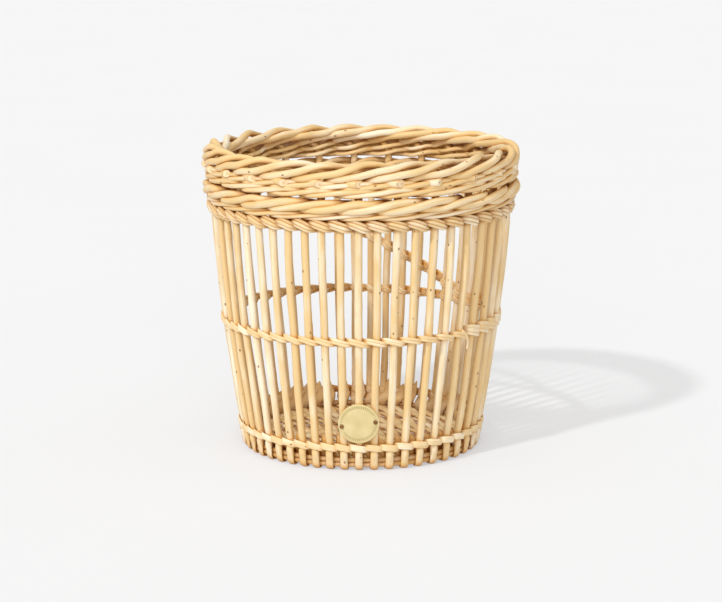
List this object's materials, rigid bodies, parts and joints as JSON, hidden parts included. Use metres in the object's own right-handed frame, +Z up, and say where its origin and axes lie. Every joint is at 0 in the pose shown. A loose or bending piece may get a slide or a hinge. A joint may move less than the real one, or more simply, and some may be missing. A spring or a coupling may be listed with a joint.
{
  "type": "wastebasket",
  "caption": "Round open willow wastebasket with spaced upright stakes, twined rows, a waled top band, a rolled border, a woven base and a small round metal tag.",
  "frame": {"origin": "centre of the basket on the plane that its foot stands on", "axes": "+Z up along the basket's axis; -Y out through the front stake that carries the tag"},
  "size_m": [0.2764, 0.2764, 0.264],
  "materials": {
    "willow_rod": "peeled willow rod, satin, with small knots",
    "willow_strip": "split willow skein, satin, with fine lengthwise grain",
    "willow_base": "woven willow, a little darker, satin",
    "tag_metal": "thin satin brass"
  },
  "bodies": {
    "root": {"upright_01": "willow_rod", "upright_02": "willow_rod", "upright_03": "willow_rod", "upright_04": "willow_rod", "upright_05": "willow_rod", "upright_06": "willow_rod", "upright_07": "willow_rod", "upright_08": "willow_rod", "upright_09": "willow_rod", "upright_10": "willow_rod", "upright_11": "willow_rod", "upright_12": "willow_rod", "upright_13": "willow_rod", "upright_14": "willow_rod", "upright_15": "willow_rod", "upright_16": "willow_rod", "upright_17": "willow_rod", "upright_18": "willow_rod", "upright_19": "willow_rod", "upright_20": "willow_rod", "upright_21": "willow_rod", "upright_22": "willow_rod", "upright_23": "willow_rod", "upright_24": "willow_rod", "short_stake_01": "willow_rod", "short_stake_02": "willow_rod", "short_stake_03": "willow_rod", "short_stake_04": "willow_rod", "short_stake_05": "willow_rod", "short_stake_06": "willow_rod", "short_stake_07": "willow_rod", "short_stake_08": "willow_rod", "short_stake_09": "willow_rod", "short_stake_10": "willow_rod", "short_stake_11": "willow_rod", "short_stake_12": "willow_rod", "short_stake_13": "willow_rod", "short_stake_14": "willow_rod", "short_stake_15": "willow_rod", "short_stake_16": "willow_rod", "short_stake_17": "willow_rod", "short_stake_18": "willow_rod", "short_stake_19": "willow_rod", "short_stake_20": "willow_rod", "short_stake_21": "willow_rod", "short_stake_22": "willow_rod", "short_stake_23": "willow_rod", "short_stake_24": "willow_rod", "foot_ring": "willow_rod", "base_panel": "willow_base", "lower_binding": "willow_strip", "middle_fitch": "willow_strip", "upper_fitch": "willow_strip", "thin_pair_row": "willow_rod", "thick_wale": "willow_rod", "thin_wales": "willow_rod", "rolled_border": "willow_rod", "tag": "tag_metal", "tag_pin_left": "tag_metal", "tag_pin_right": "tag_metal"}
  },
  "joints": []
}
